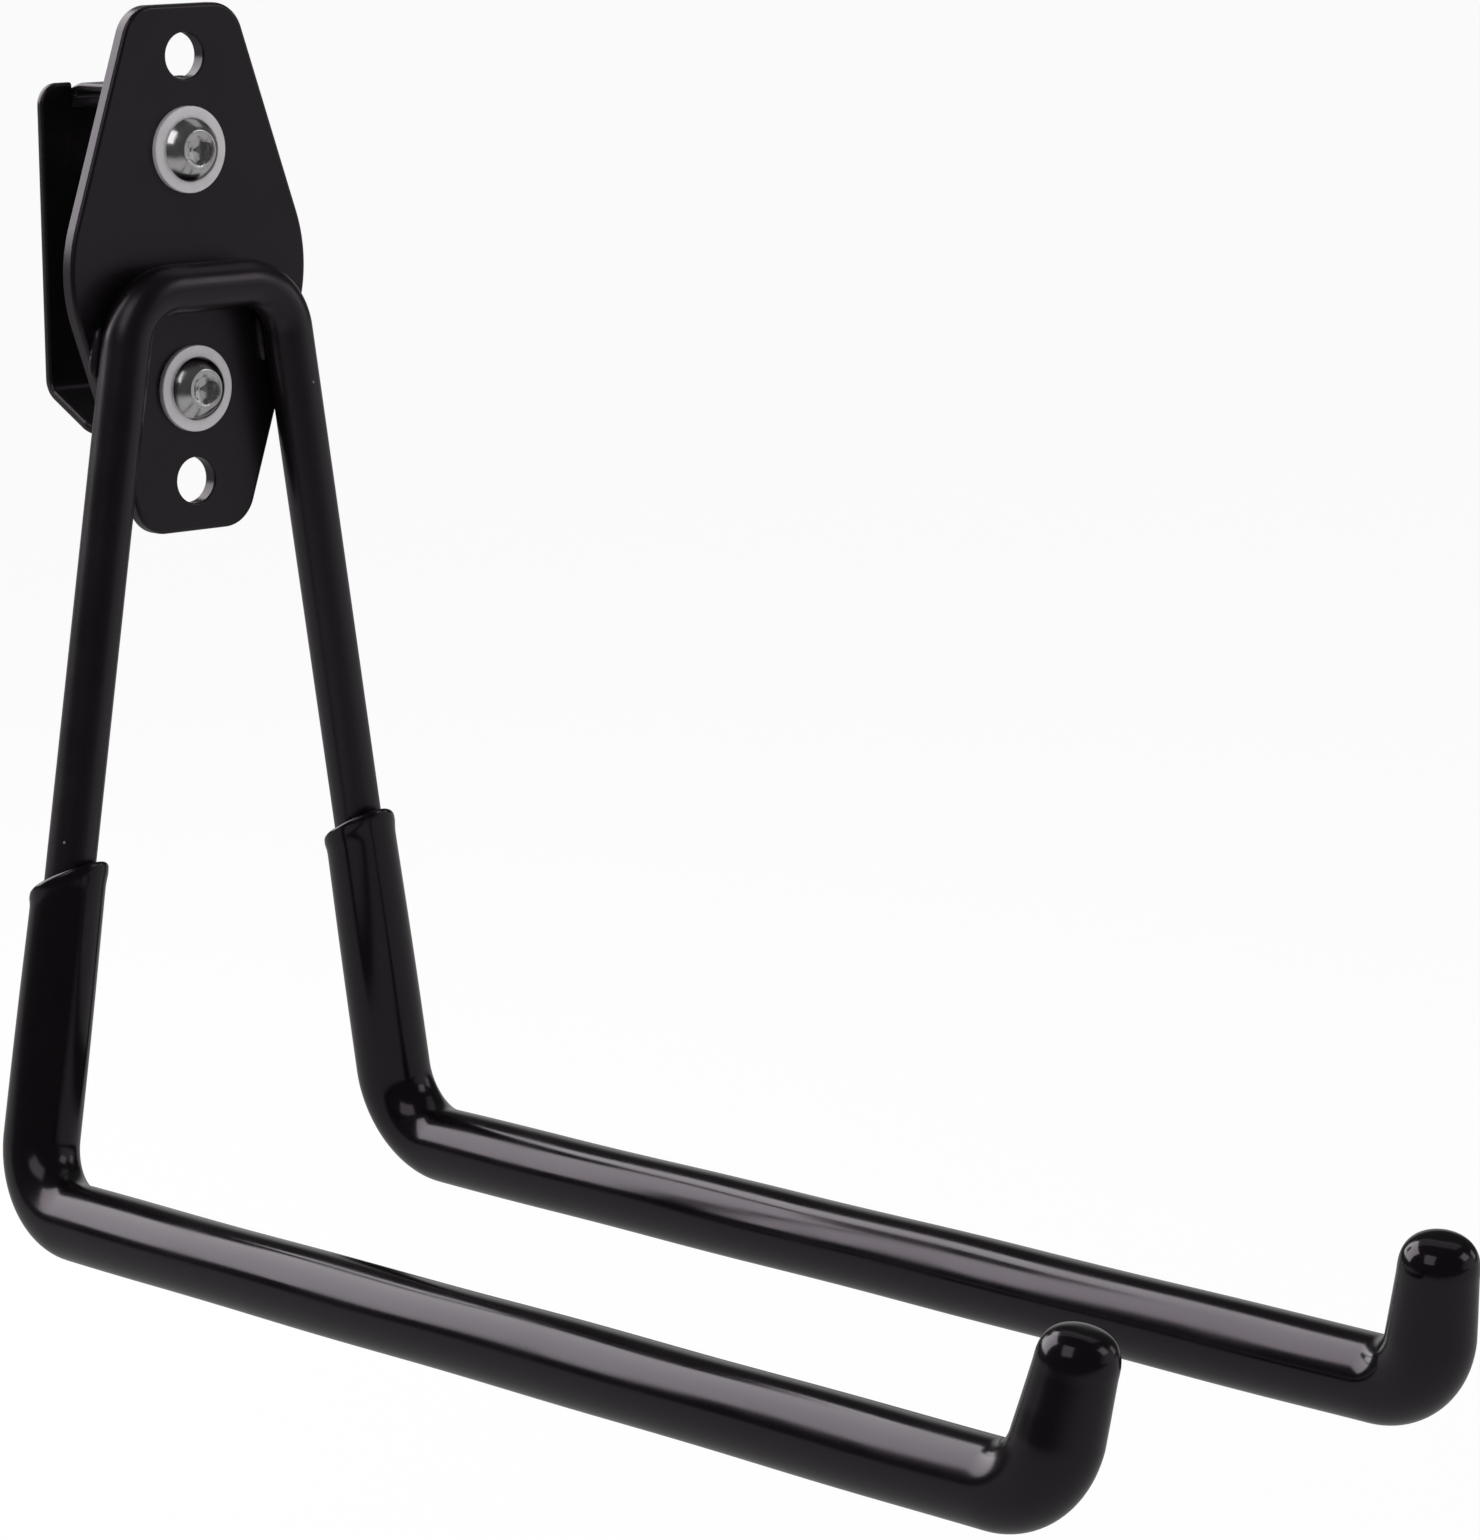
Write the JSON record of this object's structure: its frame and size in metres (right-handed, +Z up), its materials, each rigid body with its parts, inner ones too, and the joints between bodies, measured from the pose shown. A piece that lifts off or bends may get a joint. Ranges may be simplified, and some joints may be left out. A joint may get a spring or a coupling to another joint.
{
  "type": "garage utility hook",
  "caption": "Double-arm garage utility hook: a bent round rod with dip-coated arms welded to a flat wall plate, with a folded rail clip screwed on behind.",
  "frame": {"origin": "on the mounting plate's rear face, midway between the two wall holes", "axes": "+X to the right along the wall for someone facing it, +Y into the wall (the arms reach out towards -Y), +Z up"},
  "size_m": [0.0894, 0.2609, 0.1979],
  "materials": {
    "black_powder_coat": "satin black powder coat",
    "black_dip_coating": "glossy black vinyl dip",
    "bright_screw_steel": "bright plated steel",
    "zinc_washer_steel": "dull zinc plate"
  },
  "bodies": {
    "root": {"mounting_plate": "black_powder_coat", "bent_rod": "black_powder_coat", "rail_clip": "black_powder_coat", "weld_bead_left_outer": "black_powder_coat", "weld_bead_left_inner": "black_powder_coat", "weld_bead_right_outer": "black_powder_coat", "weld_bead_right_inner": "black_powder_coat", "arm_coating_left": "black_dip_coating", "arm_coating_right": "black_dip_coating", "screw_upper": "bright_screw_steel", "screw_lower": "bright_screw_steel", "washer_upper": "zinc_washer_steel", "washer_lower": "zinc_washer_steel"}
  },
  "joints": []
}
